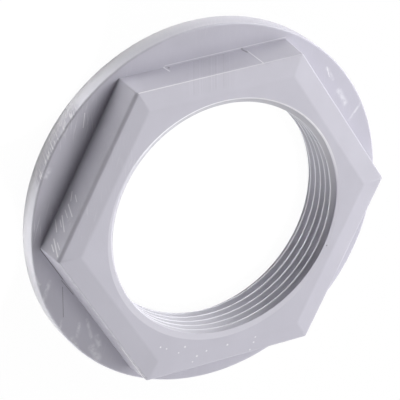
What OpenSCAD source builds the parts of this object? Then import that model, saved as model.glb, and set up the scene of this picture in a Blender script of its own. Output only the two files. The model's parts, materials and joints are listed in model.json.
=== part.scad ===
// Flanged lock nut for a two-inch pipe thread, moulded in one piece.
// A drafted hexagon with a bevelled front stands on a round flange, and a bore runs
// through both. The nut lies on its flange: Z is the bore's axis and points out of the
// hexagon's front, the origin is the middle of the flange's back face, and two of the
// hexagon's corners lie on the X axis. The thread is drawn as a row of ring grooves with
// its pitch and section, without its helix.

/* [Bore] */
// Diameter across the crests of the thread
bore_d = 56.8; // [50:0.1:58]
// Depth of the 45 degree countersink at the flange's back, where the pipe enters
back_mouth = 1.8; // [0.3:0.1:2.4]
// Width of the shallow dished mouth at the hexagon's front
front_mouth_w = 1.5; // [0.5:0.1:1.8]
// How far it falls away by the time it reaches the bore
front_mouth_drop = 0.2; // [0.1:0.05:0.5]
// Pitch of the thread, of which 11 go to the inch
pitch = 2.309; // [2:0.001:2.6]

/* [Flange] */
// Diameter of the flange
flange_d = 89; // [89:0.5:110]
// Thickness of the flange
flange_t = 5; // [3:0.25:7]
// Radius of the flange's two outer edges
flange_edge_r = 0.5; // [0.2:0.1:1]

/* [Hexagon] */
// Width across flats where the hexagon meets the flange
hex_af = 73.6; // [72:0.2:76]
// Height of the whole nut, from the flange's back to the hexagon's front
nut_h = 14; // [11:0.5:22]
// Draft of the hexagon's six sides, in degrees
draft_a = 3; // [0.5:0.5:4]
// Width of the sloping band round the hexagon's front, seen from the front
bevel_w = 4.7; // [2:0.1:4.8]
// How far the sloping band falls away by the time it reaches the sides
bevel_drop = 0.7; // [0.3:0.1:1.5]
// How much each face gives up where two of them meet in a broken edge
edge_break = 0.25; // [0.1:0.05:0.6]

/* [Hidden] */
$fn = 180;

nut_grey = [0.76, 0.76, 0.81];

bore_r = bore_d / 2;
// The 55 degree thread form is a sharp V with a sixth cut off at its tip and at its root
thread_a = 55;
sharp_depth = pitch / 2 / tan(thread_a / 2);
root_r = bore_r + sharp_depth * 2 / 3;
crest_w = pitch / 6;
// The bore's wall between its two mouths, and the grooves that fit in it
wall_low = back_mouth;
wall_high = nut_h - front_mouth_drop;
groove_n = floor((wall_high - wall_low) / pitch);
first_groove_z = (wall_low + wall_high - (groove_n - 1) * pitch) / 2;
// The bore's cutter runs this far past the faces that it cuts
past = 1;

flange_r = flange_d / 2;

// The hexagon starts halfway down in the flange, so that the two are one solid
root_z = flange_t / 2;
side_top_z = nut_h - bevel_drop;
// Distance from the axis, at a height, of the hexagon's sides and of its upright edges
function side_r(z) = hex_af / 2 - (z - flange_t) * tan(draft_a);
function upright_r(z) = side_r(z) / cos(30);

bevel_a = atan(bevel_drop / bevel_w);
bevel_in_r = side_r(side_top_z) - bevel_w;

// Half of the hexagon's section across its flats: up the side, then over the bevel,
// with the edge between them broken
break_low_z = side_top_z - edge_break * cos(draft_a);
flats_half = [
    [side_r(root_z), root_z],
    [side_r(break_low_z), break_low_z],
    [side_r(side_top_z) - edge_break * cos(bevel_a), side_top_z + edge_break * sin(bevel_a)],
    [bevel_in_r, nut_h],
];
// Half of its section across its corners, which the broken upright edges shorten
corner_cut = edge_break * cos(60);
corners_half = [for (z = [root_z, nut_h]) [upright_r(z) - corner_cut, z]];

// A bar across the axis, in the direction turn, with its half section mirrored on the
// other side
module crossbar(half, turn) {
    other_half = [for (i = [len(half) - 1 : -1 : 0]) [-half[i][0], half[i][1]]];
    rotate([90, 0, turn]) linear_extrude(height = 2 * flange_d, center = true)
        polygon(concat(half, other_half));
}

// The hexagon is what three bars across its flats share, and three across its corners
module hexagon() {
    intersection() {
        intersection_for(turn = [30, 90, 150]) crossbar(flats_half, turn);
        intersection_for(turn = [0, 60, 120]) crossbar(corners_half, turn);
    }
}

// Section of the flange, from the axis out to its two rounded edges
module flange_section() {
    inner_w = flange_r - flange_edge_r;
    square([inner_w, flange_t]);
    translate([0, flange_edge_r]) square([flange_r, flange_t - 2 * flange_edge_r]);
    for (z = [flange_edge_r, flange_t - flange_edge_r])
        translate([inner_w, z]) circle(r = flange_edge_r);
}

module flange() {
    rotate_extrude() flange_section();
}

// Section of one groove of the thread, up the wall
function groove(z) = [
    [bore_r, z - (pitch - crest_w) / 2],
    [root_r, z - crest_w / 2],
    [root_r, z + crest_w / 2],
    [bore_r, z + (pitch - crest_w) / 2],
];

// Section of all that the bore takes out: the countersink at the back, the grooves, and
// the dished mouth at the front. Both mouths run on past the faces with the same slope.
front_slope = front_mouth_w / front_mouth_drop;
bore_section = concat(
    [[0, -past], [bore_r + back_mouth + past, -past], [bore_r, wall_low]],
    [for (i = [0 : groove_n - 1]) each groove(first_groove_z + i * pitch)],
    [[bore_r, wall_high], [bore_r + (front_mouth_drop + past) * front_slope, nut_h + past],
     [0, nut_h + past]]
);

module bore() {
    rotate_extrude() polygon(bore_section);
}

module lock_nut() {
    color(nut_grey) difference() {
        union() {
            flange();
            hexagon();
        }
        bore();
    }
}

lock_nut();
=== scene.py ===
# A lock nut for a two-inch pipe thread, moulded in one piece from light grey plastic. It
# lies on its flange, with the hexagon's bevelled front up. Z is the bore's axis, and two of
# the hexagon's corners lie on the X axis.
import json
import math
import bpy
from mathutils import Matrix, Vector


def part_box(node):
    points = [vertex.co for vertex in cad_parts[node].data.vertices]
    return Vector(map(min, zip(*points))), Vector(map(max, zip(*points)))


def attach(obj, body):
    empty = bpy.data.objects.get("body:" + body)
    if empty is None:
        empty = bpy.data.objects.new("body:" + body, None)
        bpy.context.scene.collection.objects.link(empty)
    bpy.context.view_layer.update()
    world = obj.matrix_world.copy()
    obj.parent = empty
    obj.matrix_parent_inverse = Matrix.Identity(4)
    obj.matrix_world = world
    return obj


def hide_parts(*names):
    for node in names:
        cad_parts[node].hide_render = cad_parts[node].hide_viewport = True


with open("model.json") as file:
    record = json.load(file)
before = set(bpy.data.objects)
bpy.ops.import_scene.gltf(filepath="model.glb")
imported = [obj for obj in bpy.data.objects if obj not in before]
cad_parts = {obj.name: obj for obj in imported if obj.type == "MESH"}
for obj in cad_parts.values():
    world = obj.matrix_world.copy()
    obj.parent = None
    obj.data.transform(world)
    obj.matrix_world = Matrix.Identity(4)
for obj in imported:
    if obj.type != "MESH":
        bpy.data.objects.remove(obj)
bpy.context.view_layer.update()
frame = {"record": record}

from types import SimpleNamespace

import bmesh
import bpy
from mathutils import Matrix, Vector

MM = 0.001


# Sizes in millimetres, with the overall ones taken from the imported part
NUT_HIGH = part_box("lock_nut")[1]
FLANGE_R = NUT_HIGH[0] / MM
NUT_H = NUT_HIGH[2] / MM
THREAD_MOUNT = next(m for m in frame["record"]["mounts"] if m["name"] == "thread")
CREST_R = THREAD_MOUNT["dims"]["r_mm"]

FLANGE_T = 5.0
FLANGE_EDGE_R = 0.5
HEX_AF = 73.6
HEX_DRAFT = math.radians(3)
BAND_W = 4.7
BAND_DROP = 0.7
SIDE_TOP_Z = NUT_H - BAND_DROP
BACK_MOUTH = 1.8
BACK_MOUTH_SLOPE = math.radians(45)
FRONT_MOUTH_W = 1.5
FRONT_MOUTH_DROP = 0.2
LIP_R = CREST_R + FRONT_MOUTH_W

# How far each edge is rounded back from where its two faces would meet. Of the six edges
# round the hexagon's front, the one at 30 degrees is rounder than the rest, and the one at
# -90 degrees crisper. They are told by where their middles lie.
OUTER_EDGE = 0.42
ROUND_EDGE = 0.80
ROUND_FROM = 10.0
CRISP_EDGE = 0.25
CRISP_FROM = -30.0
CORNER_EDGE = 0.25
BAND_EDGE = 0.35
MITRE_EDGE = 0.30
BACK_MOUTH_EDGE = 0.20

# Parallel pipe thread with a 55 degree form, 11 threads to the inch
PITCH = 25.4 / 11
FLANK = math.radians(27.5)
THREAD_DEPTH = 0.640327 * PITCH
THREAD_ROUND = 0.137329 * PITCH
# Height of the first crest on the +X side of the bore
CREST_START = 2.60 - PITCH / 2

ROUND_STEPS = 288
# Steps within a rounded edge turn less than this, and the edges between faces more
SMOOTH_ANGLE = math.radians(14)
# Cutting tools run this far past the faces that they cut, and the tap's ends much further
PAST = 1.0
TAP_END = 40.0


def side_r(z):
    return HEX_AF / 2 - (z - FLANGE_T) * math.tan(HEX_DRAFT)


def upright_r(z):
    return side_r(z) / math.cos(math.radians(30))


# Modelling helpers
def deselect_all():
    if bpy.context.object and bpy.context.object.mode != "OBJECT":
        bpy.ops.object.mode_set(mode="OBJECT")
    bpy.ops.object.select_all(action="DESELECT")


def make_active(piece):
    deselect_all()
    piece.select_set(True)
    bpy.context.view_layer.objects.active = piece


def start_edit(piece, mode):
    make_active(piece)
    bpy.ops.object.mode_set(mode="EDIT")
    bpy.ops.mesh.select_mode(type=mode)
    bpy.ops.mesh.select_all(action="DESELECT")


def end_edit():
    bpy.ops.object.mode_set(mode="OBJECT")


def middle(element):
    """Middle of an edge or a face, in millimetres"""
    places = [v.co for v in element.verts]
    return sum(places, Vector()) / len(places) / MM


def pick(piece, kind, test):
    """In edit mode, selects just the verts, edges or faces that pass the test"""
    mesh = bmesh.from_edit_mesh(piece.data)
    bpy.ops.mesh.select_all(action="DESELECT")
    for element in getattr(mesh, kind):
        if test(element):
            element.select_set(True)
    mesh.select_flush_mode()
    bmesh.update_edit_mesh(piece.data)


def apply_modifier(piece, kind, **settings):
    make_active(piece)
    modifier = piece.modifiers.new(kind.lower(), kind)
    for name, value in settings.items():
        setattr(modifier, name, value)
    bpy.ops.object.modifier_apply(modifier=modifier.name)


def weld(gap):
    """In edit mode, joins the verts that lie within the gap, and turns all the faces out"""
    bpy.ops.mesh.select_all(action="SELECT")
    bpy.ops.mesh.remove_doubles(threshold=gap)
    bpy.ops.mesh.normals_make_consistent(inside=False)


def combine(piece, tool, operation):
    """Unites the piece with a tool or cuts it by one, and takes the tool away"""
    apply_modifier(piece, "BOOLEAN", operation=operation, object=tool, solver="EXACT")
    bpy.data.objects.remove(tool)


def settle(piece):
    """Puts the object at the origin, unturned and unscaled, with its place in its mesh"""
    make_active(piece)
    bpy.ops.object.transform_apply(location=True, rotation=True, scale=True)


# The nut
def hexagon():
    """The drafted hexagon with the sloping band round its front, edges rounded"""
    foot_z = FLANGE_T / 2
    foot_r = upright_r(foot_z)
    deselect_all()
    bpy.ops.mesh.primitive_cylinder_add(
        vertices=6, radius=foot_r * MM, depth=(SIDE_TOP_Z - foot_z) * MM,
        location=(0, 0, (SIDE_TOP_Z + foot_z) / 2 * MM), rotation=(0, 0, math.radians(90)))
    block = bpy.context.object
    settle(block)
    start_edit(block, "FACE")
    pick(block, "faces", lambda f: f.normal.z > 0.9)
    lean = upright_r(SIDE_TOP_Z) / foot_r
    bpy.ops.transform.resize(value=(lean, lean, 1))
    bpy.ops.mesh.inset(thickness=BAND_W * MM)
    bpy.ops.transform.translate(value=(0, 0, BAND_DROP * MM))
    end_edit()
    round_hexagon(block)
    return block


def hexagon_edge_width(edge):
    """How far back an edge of the hexagon is rounded, by where it lies"""
    low_z, high_z = sorted(v.co.z / MM for v in edge.verts)
    near = 0.01
    if low_z < FLANGE_T and high_z < FLANGE_T:
        return 0
    if low_z < FLANGE_T:
        return CORNER_EDGE
    if high_z < SIDE_TOP_Z + near:
        place = middle(edge)
        if place.x > ROUND_FROM and place.y > ROUND_FROM:
            return ROUND_EDGE
        return CRISP_EDGE if place.y < CRISP_FROM else OUTER_EDGE
    if low_z < SIDE_TOP_Z + near:
        return MITRE_EDGE
    return BAND_EDGE


def round_hexagon(block):
    widths = sorted({OUTER_EDGE, ROUND_EDGE, CRISP_EDGE, CORNER_EDGE, BAND_EDGE, MITRE_EDGE})
    widest = widths[-1]
    start_edit(block, "EDGE")
    for width in widths:
        pick(block, "edges", lambda e: hexagon_edge_width(e) == width)
        bpy.ops.transform.edge_bevelweight(value=width / widest)
    end_edit()
    apply_modifier(block, "BEVEL", width=widest * MM, limit_method="WEIGHT", segments=8)


def flange():
    """The round flange, with both edges of its rim rounded"""
    deselect_all()
    bpy.ops.mesh.primitive_cylinder_add(
        vertices=ROUND_STEPS, radius=FLANGE_R * MM, depth=FLANGE_T * MM,
        location=(0, 0, FLANGE_T / 2 * MM))
    disc = bpy.context.object
    settle(disc)
    start_edit(disc, "EDGE")
    pick(disc, "edges", lambda e: abs(e.verts[0].co.z - e.verts[1].co.z) < FLANGE_EDGE_R * MM)
    bpy.ops.mesh.bevel(offset=FLANGE_EDGE_R * MM, segments=8, affect="EDGES")
    end_edit()
    return disc


def drawn_line(name, points):
    """A mesh of one line through points (radius, height) in millimetres, in the XZ plane"""
    mesh = bpy.data.meshes.new(name)
    places = [(r * MM, 0, z * MM) for r, z in points]
    mesh.from_pydata(places, [(i, i + 1) for i in range(len(places) - 1)], [])
    piece = bpy.data.objects.new(name, mesh)
    bpy.context.collection.objects.link(piece)
    return piece


def turned(name, points):
    """A solid of revolution: a section that starts and ends on the axis, spun round it"""
    piece = drawn_line(name, points)
    start_edit(piece, "VERT")
    bpy.ops.mesh.select_all(action="SELECT")
    bpy.ops.mesh.spin(steps=ROUND_STEPS, angle=math.tau, center=(0, 0, 0), axis=(0, 0, 1))
    weld(1e-7)
    end_edit()
    return piece


def back_mouth_section():
    """Section of the tool for the countersink at the back, whose lip is rounded"""
    lip_r = CREST_R + BACK_MOUTH + BACK_MOUTH_EDGE * math.tan(BACK_MOUTH_SLOPE / 2)
    inner_r = CREST_R - PAST
    depth = BACK_MOUTH + PAST
    arc_steps = 5
    arc = []
    for i in range(arc_steps + 1):
        turn = BACK_MOUTH_SLOPE * i / arc_steps
        arc.append((lip_r - BACK_MOUTH_EDGE * math.sin(turn), BACK_MOUTH_EDGE * (1 - math.cos(turn))))
    return [(0, -PAST), (lip_r, -PAST)] + arc + [(inner_r, depth), (0, depth)]


def front_mouth_section():
    """Section of the tool for the shallow dished mouth at the front"""
    slope = FRONT_MOUTH_DROP / FRONT_MOUTH_W
    inner_r = CREST_R - PAST
    inner_z = NUT_H - slope * (LIP_R - inner_r)
    outer_r = LIP_R + PAST
    return [(0, NUT_H + PAST), (outer_r, NUT_H + PAST), (outer_r, NUT_H + slope * PAST),
            (inner_r, inner_z), (0, inner_z)]


def thread_section():
    """One pitch of the thread, from the bottom of a groove over a crest to the next groove"""
    root_r = CREST_R + THREAD_DEPTH
    arc_steps = 12
    sweep = math.pi / 2 - FLANK
    line = []
    for i in range(arc_steps // 2 + 1):
        turn = sweep * i / (arc_steps // 2)
        line.append((root_r - THREAD_ROUND * (1 - math.cos(turn)), THREAD_ROUND * math.sin(turn)))
    for i in range(arc_steps + 1):
        turn = sweep * (2 * i / arc_steps - 1)
        line.append((CREST_R + THREAD_ROUND * (1 - math.cos(turn)),
                     PITCH / 2 + THREAD_ROUND * math.sin(turn)))
    for i in range(arc_steps // 2 + 1):
        turn = sweep * (i / (arc_steps // 2) - 1)
        line.append((root_r - THREAD_ROUND * (1 - math.cos(turn)),
                     PITCH + THREAD_ROUND * math.sin(turn)))
    return line


def thread_tap():
    """The tool that cuts the thread: a long right-hand screw that runs past both faces"""
    turns_below = 3
    start_z = CREST_START - PITCH / 2 - turns_below * PITCH
    turns = math.ceil((NUT_H + PAST - start_z) / PITCH) + 1
    tap = drawn_line("tap", [(r, start_z + z) for r, z in thread_section()])
    apply_modifier(tap, "SCREW", angle=math.tau, screw_offset=PITCH * MM, iterations=turns,
                   steps=ROUND_STEPS, render_steps=ROUND_STEPS, use_merge_vertices=False)
    start_edit(tap, "VERT")
    bpy.ops.mesh.select_all(action="SELECT")
    bpy.ops.mesh.remove_doubles(threshold=1e-6)
    # The two open ends are drawn out, levelled and capped, well outside the nut, because a
    # boolean only takes a closed tool
    for end in (-1, 1):
        start_edit(tap, "EDGE")
        pick(tap, "edges", lambda e: e.is_boundary and (middle(e).z > NUT_H / 2) == (end > 0))
        bpy.ops.mesh.extrude_edges_move()
        bpy.ops.transform.resize(value=(1, 1, 0), center_override=(0, 0, end * TAP_END * MM))
        bpy.ops.mesh.edge_face_add()
    bpy.ops.mesh.select_all(action="SELECT")
    bpy.ops.mesh.normals_make_consistent(inside=False)
    end_edit()
    return tap


def moulded_nut():
    nut = flange()
    combine(nut, hexagon(), "UNION")
    combine(nut, thread_tap(), "DIFFERENCE")
    combine(nut, turned("front_mouth", front_mouth_section()), "DIFFERENCE")
    combine(nut, turned("back_mouth", back_mouth_section()), "DIFFERENCE")
    nut.name = "moulded_nut"
    start_edit(nut, "VERT")
    weld(1e-6)
    end_edit()
    shade(nut)
    return nut


def on_mouth_ring(edge):
    """Whether an edge lies on the front face's ring, where the dished mouth starts"""
    return all(abs(v.co.z - NUT_H * MM) < 1e-6
               and abs(v.co.xy.length - LIP_R * MM) < 1e-5 for v in edge.verts)


def shade(piece):
    """Smooth over the rounded edges and the thread, and crisp elsewhere"""
    make_active(piece)
    bpy.ops.object.shade_smooth_by_angle(angle=SMOOTH_ANGLE)
    start_edit(piece, "EDGE")
    pick(piece, "edges", on_mouth_ring)
    bpy.ops.mesh.mark_sharp()
    end_edit()
    apply_modifier(piece, "WEIGHTED_NORMAL", keep_sharp=True)


nut = moulded_nut()
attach(nut, "root")
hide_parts("lock_nut")


# Materials
def linear(hex_colour):
    """A colour written as sRGB hex, as the linear values that the shaders take"""
    parts = [int(hex_colour[i:i + 2], 16) / 255 for i in (1, 3, 5)]
    return [p / 12.92 if p <= 0.04045 else ((p + 0.055) / 1.055) ** 2.4 for p in parts] + [1]


def add_node(tree, kind, links=None, **settings):
    """Adds a node, sets its settings, and gives each named input a value or a link"""
    node = tree.nodes.new(kind)
    for name, value in settings.items():
        setattr(node, name, value)
    for name, value in (links or {}).items():
        if isinstance(value, bpy.types.NodeSocket):
            tree.links.new(value, node.inputs[name])
        else:
            node.inputs[name].default_value = value
    return node


def new_material(name):
    material = bpy.data.materials.new(name)
    material.use_nodes = True
    material.node_tree.nodes.clear()
    return material, material.node_tree


# Marks of use and of the mould, and painted highlights, in millimetres: where each starts and
# ends, and how far it reaches to either side
PALE_MARKS_AND_HIGHLIGHTS = [
    # Scratches up the hexagon's side at 30 degrees
    ((28.7, 23.6, 7.0), (27.8, 25.2, 8.0), 0.26),
    ((28.6, 23.7, 8.6), (28.0, 24.5, 10.1), 0.20),
    ((27.3, 26.1, 7.7), (26.3, 27.4, 10.9), 0.30),
    ((26.5, 27.4, 7.5), (25.9, 28.2, 9.5), 0.22),
    ((25.8, 28.7, 7.4), (24.4, 30.8, 10.6), 0.32),
    ((25.2, 29.6, 7.4), (24.7, 30.5, 8.9), 0.24),
    ((25.0, 30.3, 5.8), (23.9, 31.9, 8.1), 0.28),
    ((23.0, 33.4, 8.3), (21.5, 35.5, 12.3), 0.34),
    ((22.3, 34.6, 8.5), (21.8, 35.3, 10.2), 0.30),
    ((22.9, 33.5, 10.1), (22.3, 34.2, 11.9), 0.22),
    # Streaks on the flange, beside that side and on its far side
    ((41.3, 10.7, 5.0), (38.6, 12.9, 5.0), 0.18),
    ((7.8, -41.4, 5.0), (5.2, -40.6, 5.0), 0.14),
    # Painted highlights along the front edges at -30 and 90 degrees, and just below the edge at 90
    # degrees
    ((41.6, -0.4, 13.25), (21.2, -36.0, 13.25), 0.19),
    ((20.6, 36.3, 13.25), (-20.6, 36.3, 13.25), 0.15),
    ((-9.5, 36.4, 12.4), (-20.7, 36.5, 11.9), 0.70),
    # Weld line up the side at -30 degrees, a nick beside its foot, and flash left along it
    ((26.6, -27.6, 6.2), (26.1, -27.6, 13.3), 0.26),
    ((36.9, -9.8, 5.0), (36.6, -10.0, 7.0), 0.32),
    ((37.1, -10.2, 5.1), (21.7, -37.0, 5.1), 0.22),
]
# Pale flecks on the front and its sloping band: where each is, and how far it reaches
FLECKS = [
    ((-15.5, 29.3, 14.0), 0.36),
    ((-17.0, 28.4, 14.0), 0.32),
    ((-20.2, 26.7, 14.0), 0.30),
    ((-20.1, 24.7, 14.0), 0.40),
    ((-25.2, 21.2, 13.9), 0.36),
    ((-24.6, 23.7, 13.8), 0.42),
    ((-25.2, 25.3, 13.6), 0.30),
    ((-27.9, 16.4, 13.9), 0.42),
    ((-33.8, 12.7, 13.4), 0.34),
    ((-32.6, 11.0, 13.7), 0.36),
    ((-31.6, 10.0, 13.9), 0.34),
]
# Soft pale patches on the flange, where the skin is rubbed
RUBBED_PATCHES = [
    ((35.8, 24.6, 5.0), (35.0, 26.1, 5.0), 1.0),
    ((43.8, 15.7, 5.0), (41.2, 17.2, 5.0), 1.6),
    ((0.4, -40.7, 5.0), (-3.5, -40.4, 5.0), 1.1),
    ((7.4, -41.2, 5.0), (4.1, -41.0, 5.0), 0.7),
    ((-6.5, -43.3, 5.0), (-8.0, -39.0, 5.0), 0.5),
    ((12.5, 39.6, 5.0), (9.6, 43.1, 5.0), 0.80),
    ((12.5, 39.4, 5.0), (11.2, 41.2, 5.0), 0.50),
    ((15.7, 41.6, 5.0), (13.7, 41.7, 5.0), 0.60),
    ((2.0, 42.8, 5.0), (0.4, 44.2, 5.0), 0.50),
    ((-2.6, 38.1, 5.0), (-7.1, 39.7, 5.0), 0.70),
    ((-9.4, 41.0, 5.0), (-13.0, 41.4, 5.0), 1.40),
    ((-3.7, 43.3, 5.0), (-6.6, 43.7, 5.0), 0.80),
    ((-2.0, 40.0, 5.0), (-4.4, 42.2, 5.0), 0.70),
    ((-8.0, 38.6, 5.0), (-10.4, 39.4, 5.0), 1.00),
]
DARK_MARKS = [
    # Beside the weld line and the nick
    ((27.1, -27.0, 5.2), (26.8, -27.3, 6.7), 0.45),
    ((26.8, -27.2, 6.9), (26.5, -27.3, 11.0), 0.14),
    ((36.4, -10.6, 5.5), (36.4, -10.6, 5.5), 0.45),
    # Fine lines on the flange, two of them along the foot of the side at 90 degrees
    ((9.0, 38.0, 5.0), (2.4, 42.0, 5.0), 0.11),
    ((21.0, 36.9, 5.0), (10.6, 36.9, 5.0), 0.11),
    ((10.6, 37.3, 5.0), (5.4, 37.1, 5.0), 0.10),
    # A speck on the front
    ((-24.8, -16.2, 14.0), (-24.8, -16.2, 14.0), 0.30),
]


def mark_group():
    """Node group that is 1 on the line between two places and fades to 0 at the width"""
    group = bpy.data.node_groups.new("mark", "ShaderNodeTree")
    for name in ("Place", "Start", "End"):
        group.interface.new_socket(name, in_out="INPUT", socket_type="NodeSocketVector")
    group.interface.new_socket("Width", in_out="INPUT", socket_type="NodeSocketFloat")
    group.interface.new_socket("Mask", in_out="OUTPUT", socket_type="NodeSocketFloat")
    given = add_node(group, "NodeGroupInput").outputs
    reach = add_node(group, "ShaderNodeVectorMath", {
        0: given["Place"], 1: given["Start"]}, operation="SUBTRACT").outputs["Vector"]
    line = add_node(group, "ShaderNodeVectorMath", {
        0: given["End"], 1: given["Start"]}, operation="SUBTRACT").outputs["Vector"]
    reach_along = add_node(group, "ShaderNodeVectorMath", {
        0: reach, 1: line}, operation="DOT_PRODUCT").outputs["Value"]
    line_along = add_node(group, "ShaderNodeVectorMath", {
        0: line, 1: line}, operation="DOT_PRODUCT").outputs["Value"]
    share = add_node(group, "ShaderNodeMath", {
        0: reach_along, 1: line_along}, operation="DIVIDE", use_clamp=True).outputs["Value"]
    nearest = add_node(group, "ShaderNodeVectorMath", {
        0: line, "Scale": share}, operation="SCALE").outputs["Vector"]
    gap = add_node(group, "ShaderNodeVectorMath", {
        0: reach, 1: nearest}, operation="DISTANCE").outputs["Value"]
    mask = add_node(group, "ShaderNodeMapRange", {
        "Value": gap, "From Min": given["Width"], "From Max": 0.0},
        interpolation_type="SMOOTHSTEP").outputs["Result"]
    add_node(group, "NodeGroupOutput", {"Mask": mask})
    return group


def marks_mask(tree, place, group, marks):
    """One mask for all the marks of a list"""
    mask = 0.0
    for start, end, width in marks:
        mark = add_node(tree, "ShaderNodeGroup", {
            "Place": place, "Start": [c * MM for c in start], "End": [c * MM for c in end],
            "Width": width * MM}, node_tree=group).outputs["Mask"]
        mask = add_node(tree, "ShaderNodeMath", {
            0: mask, 1: mark}, operation="MAXIMUM").outputs["Value"]
    return mask


# Scales of the plastic's patterns, in millimetres
CLOUD_SIZE = 9.0
# The real mould's grain is about 0.1 mm, which is too fine to show, so it is drawn coarser
GRAIN_SIZE = 0.45
GRAIN_DEPTH = 0.006
MOTTLE_SIZE = 0.9
# Scuffs are in patches, and run in two directions, in degrees
SCUFF_PATCH = 12.0
SCUFF_LENGTH = 5.0
SCUFF_WIDTH = 0.35
SCUFF_HEIGHT = 0.03
SCUFF_ANGLES = (33, 47)
# A part of the flange is brushed more than the rest
BRUSHED_FROM = math.radians(8)
BRUSHED_TO = math.radians(60)
BRUSHED_END = math.radians(8)
# Drag marks up one side, around a middle that is measured along the side
DRAG_SIDE = math.radians(-30)
DRAG_WIDTH = 0.5
DRAG_SLANT = 0.53
DRAG_MIDDLE = -4.2
DRAG_REACH = 7.0
DRAG_OUT_FROM = 32.5
DRAG_OUT_TO = 33.5
# The rim starts this far out, and ends below the flange's front face. Light is painted on the
# rim as a pale tone. It is palest low down, and fades out towards the -Y side.
RIM_FROM_R = 44.1
RIM_FROM_BLUR = 0.15
RIM_TOP_Z = FLANGE_T - 0.05
RIM_FULL_Z = FLANGE_T - 0.45
RIM_LIGHT_FADE_FROM = 0.0
RIM_LIGHT_FADE_TO = -40.0
LOW_RIM_LIGHT_FROM = 3.4
LOW_RIM_LIGHT_TO = 0.8
# A stretch of the rim is dressed down across its width
DRESSED_FROM = math.radians(13.4)
DRESSED_TO = math.radians(41.0)
DRESSED_END = math.radians(2.6)
RIM_SCUFF_WIDTH = 0.5
RIM_SCUFF_LENGTH = 3.0
RIM_SCUFF_SLANT = -0.4
# The lip is the dished mouth at the front. It is paler than the rest, palest towards -45
# degrees, and the pale tone reaches deeper beside its outer ring.
LIP_BLUR = 0.06
LIP_FULL_Z = NUT_H - 0.22
LIP_FOOT_Z = NUT_H - 0.32
LIP_RING_FROM = LIP_R - 0.5
LIP_RING_TO = LIP_R - 0.3
LIP_RING_DEPTH = 0.8
LIP_PALE_TURN = math.radians(-45)
LIP_PALE_FROM = 10.0
LIP_PALE_TO = 20.0
# A highlight is painted on the thread's crests within this depth, fainter towards the +Y side
CREST_HIGHLIGHT_FULL = 0.02
CREST_HIGHLIGHT_END = 0.16
CREST_HIGHLIGHT_FROM = 20.0
CREST_HIGHLIGHT_TO = -4.0

PLASTIC = "#C5C3CE"
# Pale wear, also used for the painted highlights along the front edges
PALE_WEAR_AND_HIGHLIGHT = "#F3F2F6"
DARK_TONE = "#6E6C76"
RUBBED = "#E0DFE6"
# Painted light on the flange's rim
RIM_PAINTED_LIGHT = "#EDECF4"
RIM_DRESSED = "#CDCBD5"
# More painted light, low down on the rim
RIM_LOW_PAINTED_LIGHT = "#FAF9FD"
THREAD_PLASTIC = "#C5C4CB"
# Painted highlight on the thread's crests
THREAD_CREST_HIGHLIGHT = "#E9E9EE"
LIP_PLASTIC = "#CDCBD5"
LIP_PALEST = "#F0EFF4"
MOULDED_ROUGHNESS = 0.45
WORN_ROUGHNESS = 0.65
POLYAMIDE_IOR = 1.53


def place_on_nut(tree):
    """Where a point is: its place, Y and Z, its turn round the bore and distance from its
    axis"""
    place = add_node(tree, "ShaderNodeTexCoord").outputs["Object"]
    axes = add_node(tree, "ShaderNodeSeparateXYZ", {"Vector": place}).outputs
    turn = add_node(tree, "ShaderNodeMath", {
        0: axes["Y"], 1: axes["X"]}, operation="ARCTAN2").outputs["Value"]
    flat_place = add_node(tree, "ShaderNodeVectorMath", {
        0: place, 1: (1, 1, 0)}, operation="MULTIPLY").outputs["Vector"]
    radius = add_node(tree, "ShaderNodeVectorMath", {
        0: flat_place}, operation="LENGTH").outputs["Value"]
    return SimpleNamespace(place=place, y=axes["Y"], z=axes["Z"], turn=turn, radius=radius)


def stretch_mask(tree, turn, start, stop, end):
    """1 between two turns round the bore, fading in and out over the end's width"""
    begun = add_node(tree, "ShaderNodeMapRange", {
        "Value": turn, "From Min": start, "From Max": start + end}).outputs["Result"]
    unfinished = add_node(tree, "ShaderNodeMapRange", {
        "Value": turn, "From Min": stop, "From Max": stop - end}).outputs["Result"]
    return add_node(tree, "ShaderNodeMath", {
        0: begun, 1: unfinished}, operation="MULTIPLY").outputs["Value"]


def clouded_tone(tree, at):
    """The plastic's colour, a little uneven"""
    clouds = add_node(tree, "ShaderNodeTexNoise", {
        "Vector": at.place, "Scale": 1 / (CLOUD_SIZE * MM), "Detail": 3}).outputs["Fac"]
    cloud_tone = add_node(tree, "ShaderNodeMapRange", {
        "Value": clouds, "From Min": 0.3, "From Max": 0.7,
        "To Min": 0.975, "To Max": 1.025}).outputs["Result"]
    return add_node(tree, "ShaderNodeMixRGB", {
        "Fac": 1.0, "Color1": linear(PLASTIC), "Color2": cloud_tone},
        blend_type="MULTIPLY").outputs["Color"]


def rim_mask(tree, at):
    """1 on the flange's rim, which has painted light and scuffs"""
    far_out = add_node(tree, "ShaderNodeMapRange", {
        "Value": at.radius, "From Min": (RIM_FROM_R - RIM_FROM_BLUR) * MM,
        "From Max": (RIM_FROM_R + RIM_FROM_BLUR) * MM},
        interpolation_type="SMOOTHSTEP").outputs["Result"]
    below_edge = add_node(tree, "ShaderNodeMapRange", {
        "Value": at.z, "From Min": RIM_TOP_Z * MM,
        "From Max": RIM_FULL_Z * MM}).outputs["Result"]
    return add_node(tree, "ShaderNodeMath", {
        0: far_out, 1: below_edge}, operation="MULTIPLY").outputs["Value"]


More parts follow.
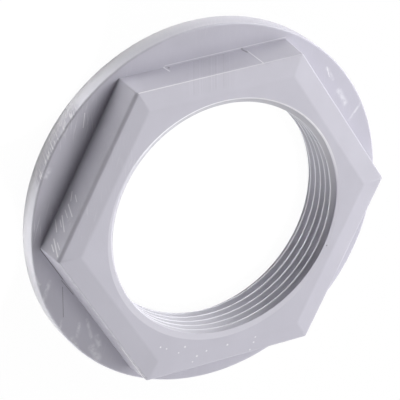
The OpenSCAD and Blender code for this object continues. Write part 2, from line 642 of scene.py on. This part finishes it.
def rim_tone(tree, at, dressed):
    """The rim's painted light, with the stretch of it that is dressed down"""
    # Painted light on the rim, fading out towards the -Y side
    lit_side = add_node(tree, "ShaderNodeMapRange", {
        "Value": at.y, "From Min": RIM_LIGHT_FADE_TO * MM,
        "From Max": RIM_LIGHT_FADE_FROM * MM}).outputs["Result"]
    tone = add_node(tree, "ShaderNodeMixRGB", {
        "Fac": lit_side, "Color1": linear(PLASTIC), "Color2": linear(RIM_PAINTED_LIGHT)}).outputs["Color"]
    tone = add_node(tree, "ShaderNodeMixRGB", {
        "Fac": dressed, "Color1": tone, "Color2": linear(RIM_DRESSED)}).outputs["Color"]
    # More painted light, palest low down on the rim
    low_rim_light = add_node(tree, "ShaderNodeMapRange", {
        "Value": at.z, "From Min": LOW_RIM_LIGHT_FROM * MM, "From Max": LOW_RIM_LIGHT_TO * MM,
        "To Max": 0.85}).outputs["Result"]
    low_rim_light = add_node(tree, "ShaderNodeMath", {
        0: low_rim_light, 1: lit_side}, operation="MULTIPLY").outputs["Value"]
    return add_node(tree, "ShaderNodeMixRGB", {
        "Fac": low_rim_light, "Color1": tone, "Color2": linear(RIM_LOW_PAINTED_LIGHT)}).outputs["Color"]


def add_drag_marks(tree, at, tone):
    """Drag marks up one side of the hexagon, where the mould let go last"""
    along_side = add_node(tree, "ShaderNodeVectorMath", {
        0: at.place, 1: (-math.sin(DRAG_SIDE), math.cos(DRAG_SIDE), 0)},
        operation="DOT_PRODUCT").outputs["Value"]
    out_to_side = add_node(tree, "ShaderNodeVectorMath", {
        0: at.place, 1: (math.cos(DRAG_SIDE), math.sin(DRAG_SIDE), 0)},
        operation="DOT_PRODUCT").outputs["Value"]
    slant = add_node(tree, "ShaderNodeMath", {
        0: at.z, 1: DRAG_SLANT}, operation="MULTIPLY").outputs["Value"]
    along_side = add_node(tree, "ShaderNodeMath", {
        0: along_side, 1: slant}, operation="SUBTRACT").outputs["Value"]
    lines = add_node(tree, "ShaderNodeTexNoise", {
        "W": along_side, "Scale": 1 / (DRAG_WIDTH * MM), "Detail": 2},
        noise_dimensions="1D").outputs["Fac"]
    off_middle = add_node(tree, "ShaderNodeMath", {
        0: along_side, 1: DRAG_MIDDLE * MM}, operation="SUBTRACT").outputs["Value"]
    off_middle = add_node(tree, "ShaderNodeMath", {
        0: off_middle}, operation="ABSOLUTE").outputs["Value"]
    within_reach = add_node(tree, "ShaderNodeMapRange", {
        "Value": off_middle, "From Min": DRAG_REACH * MM,
        "From Max": DRAG_REACH / 2 * MM}).outputs["Result"]
    on_side = add_node(tree, "ShaderNodeMapRange", {
        "Value": out_to_side, "From Min": DRAG_OUT_FROM * MM,
        "From Max": DRAG_OUT_TO * MM}).outputs["Result"]
    share = add_node(tree, "ShaderNodeMath", {
        0: within_reach, 1: on_side}, operation="MULTIPLY").outputs["Value"]
    above_flange = add_node(tree, "ShaderNodeMath", {
        0: at.z, 1: (FLANGE_T + 0.1) * MM}, operation="GREATER_THAN").outputs["Value"]
    share = add_node(tree, "ShaderNodeMath", {
        0: share, 1: above_flange}, operation="MULTIPLY").outputs["Value"]
    drag_tone = add_node(tree, "ShaderNodeMapRange", {
        "Value": lines, "From Min": 0.3, "From Max": 0.7,
        "To Min": 0.93, "To Max": 1.04}).outputs["Result"]
    return add_node(tree, "ShaderNodeMixRGB", {
        "Fac": share, "Color1": tone, "Color2": drag_tone},
        blend_type="MULTIPLY").outputs["Color"]


def lip_mask(tree, at):
    """1 on the dished mouth at the front, and down its outer ring"""
    lift = add_node(tree, "ShaderNodeMapRange", {
        "Value": at.radius, "From Min": LIP_RING_FROM * MM, "From Max": LIP_RING_TO * MM,
        "To Min": 0.0, "To Max": LIP_RING_DEPTH * MM}).outputs["Result"]
    lifted = add_node(tree, "ShaderNodeMath", {
        0: at.z, 1: lift}, operation="ADD").outputs["Value"]
    return add_node(tree, "ShaderNodeMapRange", {
        "Value": lifted, "From Min": LIP_FOOT_Z * MM, "From Max": LIP_FULL_Z * MM}).outputs["Result"]


def add_bore_tones(tree, at, tone):
    """The bore's thread keeps less of the tint, its crests get a painted highlight, and its lip is
    paler
    """
    inside = add_node(tree, "ShaderNodeMapRange", {
        "Value": at.radius, "From Min": (LIP_R + LIP_BLUR) * MM,
        "From Max": (LIP_R - LIP_BLUR) * MM}).outputs["Result"]
    on_lip = lip_mask(tree, at)
    towards_pale = add_node(tree, "ShaderNodeVectorMath", {
        0: at.place, 1: (math.cos(LIP_PALE_TURN), math.sin(LIP_PALE_TURN), 0)},
        operation="DOT_PRODUCT").outputs["Value"]
    lip_pale = add_node(tree, "ShaderNodeMapRange", {
        "Value": towards_pale, "From Min": LIP_PALE_FROM * MM,
        "From Max": LIP_PALE_TO * MM}).outputs["Result"]
    lip_tone = add_node(tree, "ShaderNodeMixRGB", {
        "Fac": lip_pale, "Color1": linear(LIP_PLASTIC), "Color2": linear(LIP_PALEST)}).outputs["Color"]
    # Painted highlight on the thread's crests
    crest = add_node(tree, "ShaderNodeMapRange", {
        "Value": at.radius, "From Min": (CREST_R + CREST_HIGHLIGHT_END) * MM,
        "From Max": (CREST_R + CREST_HIGHLIGHT_FULL) * MM}).outputs["Result"]
    crest_highlight_side = add_node(tree, "ShaderNodeMapRange", {
        "Value": at.y, "From Min": CREST_HIGHLIGHT_FROM * MM, "From Max": CREST_HIGHLIGHT_TO * MM,
        "To Min": 0.1, "To Max": 0.7}).outputs["Result"]
    crest = add_node(tree, "ShaderNodeMath", {
        0: crest, 1: crest_highlight_side}, operation="MULTIPLY").outputs["Value"]
    thread_tone = add_node(tree, "ShaderNodeMixRGB", {
        "Fac": crest, "Color1": linear(THREAD_PLASTIC),
        "Color2": linear(THREAD_CREST_HIGHLIGHT)}).outputs["Color"]
    tone_inside = add_node(tree, "ShaderNodeMixRGB", {
        "Fac": on_lip, "Color1": thread_tone, "Color2": lip_tone}).outputs["Color"]
    return add_node(tree, "ShaderNodeMixRGB", {
        "Fac": inside, "Color1": tone, "Color2": tone_inside}).outputs["Color"]


def scuffs_mask(tree, at):
    """Fine scuffs in patches, most of them on the brushed part of the flange"""
    patches = add_node(tree, "ShaderNodeTexNoise", {
        "Vector": at.place, "Scale": 1 / (SCUFF_PATCH * MM), "Detail": 1}).outputs["Fac"]
    patchy = add_node(tree, "ShaderNodeMapRange", {
        "Value": patches, "From Min": 0.35, "From Max": 0.60}).outputs["Result"]
    scuffs = 0.0
    for angle in SCUFF_ANGLES:
        slanted = add_node(tree, "ShaderNodeMapping", {
            "Vector": at.place, "Rotation": (0, 0, math.radians(angle))}).outputs["Vector"]
        stretched = add_node(tree, "ShaderNodeMapping", {
            "Vector": slanted, "Scale": (SCUFF_WIDTH / SCUFF_LENGTH, 1, 1)}).outputs["Vector"]
        lines = add_node(tree, "ShaderNodeTexNoise", {
            "Vector": stretched, "Scale": 1 / (SCUFF_WIDTH * MM), "Detail": 0}).outputs["Fac"]
        thin = add_node(tree, "ShaderNodeMapRange", {
            "Value": lines, "From Min": 0.66, "From Max": 0.80}).outputs["Result"]
        scuffs = add_node(tree, "ShaderNodeMath", {
            0: scuffs, 1: thin}, operation="MAXIMUM").outputs["Value"]
    low_down = add_node(tree, "ShaderNodeMapRange", {
        "Value": at.z, "From Min": FLANGE_T * MM, "From Max": (FLANGE_T + 1) * MM,
        "To Min": 1.0, "To Max": 0.3}).outputs["Result"]
    brushed = stretch_mask(tree, at.turn, BRUSHED_FROM, BRUSHED_TO, BRUSHED_END)
    brushed_share = add_node(tree, "ShaderNodeMapRange", {
        "Value": brushed, "To Min": 0.05, "To Max": 0.5}).outputs["Result"]
    for share in (patchy, low_down, brushed_share):
        scuffs = add_node(tree, "ShaderNodeMath", {
            0: scuffs, 1: share}, operation="MULTIPLY").outputs["Value"]
    return scuffs


def rim_scuffs_mask(tree, at, on_rim, dressed):
    """Scuffs across the rim's width, nearly all of them where it is dressed down"""
    round_rim = add_node(tree, "ShaderNodeMath", {
        0: at.turn, 1: FLANGE_R / RIM_SCUFF_WIDTH}, operation="MULTIPLY").outputs["Value"]
    slant = add_node(tree, "ShaderNodeMath", {
        0: at.z, 1: RIM_SCUFF_SLANT / (RIM_SCUFF_WIDTH * MM)}, operation="MULTIPLY").outputs["Value"]
    round_rim = add_node(tree, "ShaderNodeMath", {
        0: round_rim, 1: slant}, operation="ADD").outputs["Value"]
    up_rim = add_node(tree, "ShaderNodeMath", {
        0: at.z, 1: 1 / (RIM_SCUFF_LENGTH * MM)}, operation="MULTIPLY").outputs["Value"]
    unrolled = add_node(tree, "ShaderNodeCombineXYZ", {"X": round_rim, "Y": up_rim}).outputs["Vector"]
    lines = add_node(tree, "ShaderNodeTexNoise", {
        "Vector": unrolled, "Scale": 1.0, "Detail": 2}).outputs["Fac"]
    scuffs = add_node(tree, "ShaderNodeMapRange", {
        "Value": lines, "From Min": 0.52, "From Max": 0.62}).outputs["Result"]
    dressed_share = add_node(tree, "ShaderNodeMapRange", {
        "Value": dressed, "To Min": 0.12, "To Max": 1.0}).outputs["Result"]
    for share in (dressed_share, on_rim):
        scuffs = add_node(tree, "ShaderNodeMath", {
            0: scuffs, 1: share}, operation="MULTIPLY").outputs["Value"]
    return scuffs


def rubbed_mask(tree, at, group):
    """The rubbed patches, mottled"""
    patches = marks_mask(tree, at.place, group, RUBBED_PATCHES)
    mottle = add_node(tree, "ShaderNodeTexNoise", {
        "Vector": at.place, "Scale": 1 / (MOTTLE_SIZE * MM), "Detail": 2}).outputs["Fac"]
    mottled = add_node(tree, "ShaderNodeMapRange", {
        "Value": mottle, "From Min": 0.38, "From Max": 0.60,
        "To Min": 0.25, "To Max": 1.0}).outputs["Result"]
    return add_node(tree, "ShaderNodeMath", {
        0: patches, 1: mottled}, operation="MULTIPLY").outputs["Value"]


def plastic():
    """Polyamide, injection moulded: a satin skin from a fine-grained mould, a little
    uneven in tone, with pale scratches where a knock has raised the skin. Light is painted
    on the rim, along the front edges and on the thread's crests"""
    material, tree = new_material("injection_moulded_polyamide")
    group = mark_group()
    at = place_on_nut(tree)

    tone = clouded_tone(tree, at)
    on_rim = rim_mask(tree, at)
    dressed = stretch_mask(tree, at.turn, DRESSED_FROM, DRESSED_TO, DRESSED_END)
    # The rim's painted light
    tone = add_node(tree, "ShaderNodeMixRGB", {
        "Fac": on_rim, "Color1": tone, "Color2": rim_tone(tree, at, dressed)}).outputs["Color"]
    tone = add_drag_marks(tree, at, tone)
    tone = add_bore_tones(tree, at, tone)

    fine_wear = add_node(tree, "ShaderNodeMath", {
        0: scuffs_mask(tree, at), 1: rim_scuffs_mask(tree, at, on_rim, dressed)},
        operation="MAXIMUM").outputs["Value"]
    tone = add_node(tree, "ShaderNodeMixRGB", {
        "Fac": rubbed_mask(tree, at, group), "Color1": tone,
        "Color2": linear(RUBBED)}).outputs["Color"]
    fleck_marks = [(place, place, width) for place, width in FLECKS]
    # Pale scratches and flecks, with painted highlights along the front edges
    pale_and_highlight = marks_mask(tree, at.place, group, PALE_MARKS_AND_HIGHLIGHTS + fleck_marks)
    wear_and_highlight = add_node(tree, "ShaderNodeMath", {
        0: fine_wear, 1: pale_and_highlight}, operation="MAXIMUM").outputs["Value"]
    tone = add_node(tree, "ShaderNodeMixRGB", {
        "Fac": wear_and_highlight, "Color1": tone, "Color2": linear(PALE_WEAR_AND_HIGHLIGHT)}).outputs["Color"]
    # Darker spots and lines
    dark = marks_mask(tree, at.place, group, DARK_MARKS)
    tone = add_node(tree, "ShaderNodeMixRGB", {
        "Fac": dark, "Color1": tone, "Color2": linear(DARK_TONE)}).outputs["Color"]

    # The mould's grain, and the raised skin of the scuffs
    grain = add_node(tree, "ShaderNodeTexNoise", {
        "Vector": at.place, "Scale": 1 / (GRAIN_SIZE * MM), "Detail": 2}).outputs["Fac"]
    grained = add_node(tree, "ShaderNodeBump", {
        "Height": grain, "Distance": GRAIN_DEPTH * MM, "Strength": 1.0}).outputs["Normal"]
    scuffed = add_node(tree, "ShaderNodeBump", {
        "Height": fine_wear, "Distance": SCUFF_HEIGHT * MM, "Strength": 1.0,
        "Normal": grained}).outputs["Normal"]
    roughness = add_node(tree, "ShaderNodeMapRange", {
        "Value": wear_and_highlight, "To Min": MOULDED_ROUGHNESS, "To Max": WORN_ROUGHNESS}).outputs["Result"]
    shader = add_node(tree, "ShaderNodeBsdfPrincipled", {
        "Base Color": tone, "Roughness": roughness, "IOR": POLYAMIDE_IOR, "Normal": scuffed})
    add_node(tree, "ShaderNodeOutputMaterial", {"Surface": shader.outputs["BSDF"]})
    return material


nut.data.materials.clear()
nut.data.materials.append(plastic())


# Floor, camera and lights
FLOOR_SIZE = 6.0
FLOOR_WHITE = "#F9F9F9"
# Share of the floor that is seen plain white. The rest shows the nut's shadow.
FLOOR_PLAIN = 0.975


def floor_material():
    material, tree = new_material("white_floor")
    matt = add_node(tree, "ShaderNodeBsdfDiffuse", {"Color": linear(FLOOR_WHITE)})
    white = add_node(tree, "ShaderNodeEmission", {"Color": (1, 1, 1, 1), "Strength": 1.0})
    seen = add_node(tree, "ShaderNodeMixShader", {
        "Fac": FLOOR_PLAIN, 1: matt.outputs["BSDF"], 2: white.outputs["Emission"]})
    rays = add_node(tree, "ShaderNodeLightPath")
    straight = add_node(tree, "ShaderNodeMath", {
        0: rays.outputs["Is Camera Ray"], 1: rays.outputs["Is Glossy Ray"]}, operation="ADD")
    clear = add_node(tree, "ShaderNodeMath", {
        0: straight.outputs[0], 1: rays.outputs["Is Transmission Ray"]}, operation="ADD")
    mixed = add_node(tree, "ShaderNodeMixShader", {
        "Fac": clear.outputs[0], 1: matt.outputs["BSDF"], 2: seen.outputs["Shader"]})
    add_node(tree, "ShaderNodeOutputMaterial", {"Surface": mixed.outputs["Shader"]})
    return material


def add_floor():
    deselect_all()
    bpy.ops.mesh.primitive_plane_add(size=FLOOR_SIZE, location=(0, 0, 0))
    floor = bpy.context.object
    floor.name = "floor"
    floor.data.materials.append(floor_material())


# The camera turns round a point on the floor near the bore's axis. Its lens and sensor are
# in millimetres.
VIEW_AIM = Vector((-1.25, -0.14, 0)) * MM
VIEW_AZIMUTH = math.radians(12.61)
VIEW_HEIGHT = math.radians(52.83)
VIEW_ROLL = math.radians(129.36)
VIEW_DISTANCE = 711.8 * MM
LENS = 276.8
SENSOR = 36
# In metres. Nothing that is nearer to the camera is drawn.
CLIP_START = 0.01


def add_camera():
    turn = (Matrix.Rotation(VIEW_AZIMUTH + math.pi / 2, 4, "Z")
            @ Matrix.Rotation(math.pi / 2 - VIEW_HEIGHT, 4, "X")
            @ Matrix.Rotation(VIEW_ROLL, 4, "Z"))
    deselect_all()
    bpy.ops.object.camera_add()
    camera = bpy.context.object
    camera.data.lens = LENS
    camera.data.sensor_width = SENSOR
    camera.data.clip_start = CLIP_START
    camera.matrix_world = (Matrix.Translation(VIEW_AIM) @ turn
                           @ Matrix.Translation((0, 0, VIEW_DISTANCE)))
    bpy.context.scene.camera = camera


# Metres from the nut to each softbox, and from the floor to each spot
LAMP_DISTANCE = 1.2
# A spot's own radius in metres, and the share of its patch that fades out at the edge
SPOT_RADIUS = 0.001
SPOT_FADE = 0.12


def add_softbox(name, azimuth, height, width, tall, power):
    """A softbox that faces the nut, with its azimuth and height in degrees, its size in
    metres and its power in watts"""
    turn = (Matrix.Rotation(math.radians(azimuth) + math.pi / 2, 4, "Z")
            @ Matrix.Rotation(math.pi / 2 - math.radians(height), 4, "X"))
    lamp = bpy.data.lights.new(name, "AREA")
    lamp.shape = "RECTANGLE"
    lamp.size = width
    lamp.size_y = tall
    lamp.energy = power
    holder = bpy.data.objects.new(name, lamp)
    holder.matrix_world = turn @ Matrix.Translation((0, 0, LAMP_DISTANCE))
    bpy.context.collection.objects.link(holder)


def add_floor_spot(name, azimuth, out, reach, power):
    """A spot straight above the floor, which throws light back up from a round patch of it,
    so many millimetres out from the axis and so many in radius"""
    lamp = bpy.data.lights.new(name, "SPOT")
    lamp.energy = power
    lamp.shadow_soft_size = SPOT_RADIUS
    lamp.spot_size = 2 * math.atan(reach * MM / LAMP_DISTANCE)
    lamp.spot_blend = SPOT_FADE
    holder = bpy.data.objects.new(name, lamp)
    place = Vector((out * MM, 0, LAMP_DISTANCE))
    holder.location = Matrix.Rotation(math.radians(azimuth), 4, "Z") @ place
    bpy.context.collection.objects.link(holder)


def set_world():
    """No light comes from the world, and the camera sees it plain white"""
    world = bpy.data.worlds.new("studio")
    bpy.context.scene.world = world
    world.use_nodes = True
    tree = world.node_tree
    tree.nodes.clear()
    dark = add_node(tree, "ShaderNodeBackground", {"Color": (0, 0, 0, 1), "Strength": 0.0})
    white = add_node(tree, "ShaderNodeBackground", {"Color": (1, 1, 1, 1), "Strength": 1.0})
    rays = add_node(tree, "ShaderNodeLightPath")
    mixed = add_node(tree, "ShaderNodeMixShader", {
        "Fac": rays.outputs["Is Camera Ray"],
        1: dark.outputs["Background"], 2: white.outputs["Background"]})
    add_node(tree, "ShaderNodeOutputWorld", {"Surface": mixed.outputs["Shader"]})


add_floor()
add_camera()
add_softbox("low_key", azimuth=-90, height=20, width=0.8, tall=0.4, power=9.6)
add_softbox("key", azimuth=-90, height=42, width=0.8, tall=0.5, power=4.3)
add_softbox("back", azimuth=-135, height=20, width=0.8, tall=0.4, power=4.8)
add_softbox("top", azimuth=-135, height=68, width=0.8, tall=0.6, power=4.1)
add_softbox("fill", azimuth=135, height=42, width=0.8, tall=0.5, power=4.4)
add_softbox("left_strip", azimuth=90, height=4, width=0.8, tall=0.14, power=2.3)
add_softbox("near_strip", azimuth=135, height=4, width=0.8, tall=0.14, power=2.1)
add_softbox("far_strip", azimuth=180, height=4, width=0.8, tall=0.14, power=1.3)
add_floor_spot("floor_in_bore", azimuth=0, out=0, reach=27, power=88)
add_floor_spot("floor_at_left", azimuth=58, out=75.7, reach=31, power=52)
add_floor_spot("floor_at_top", azimuth=13, out=75.7, reach=31, power=54)
set_world()
bpy.context.scene.view_settings.view_transform = "Standard"
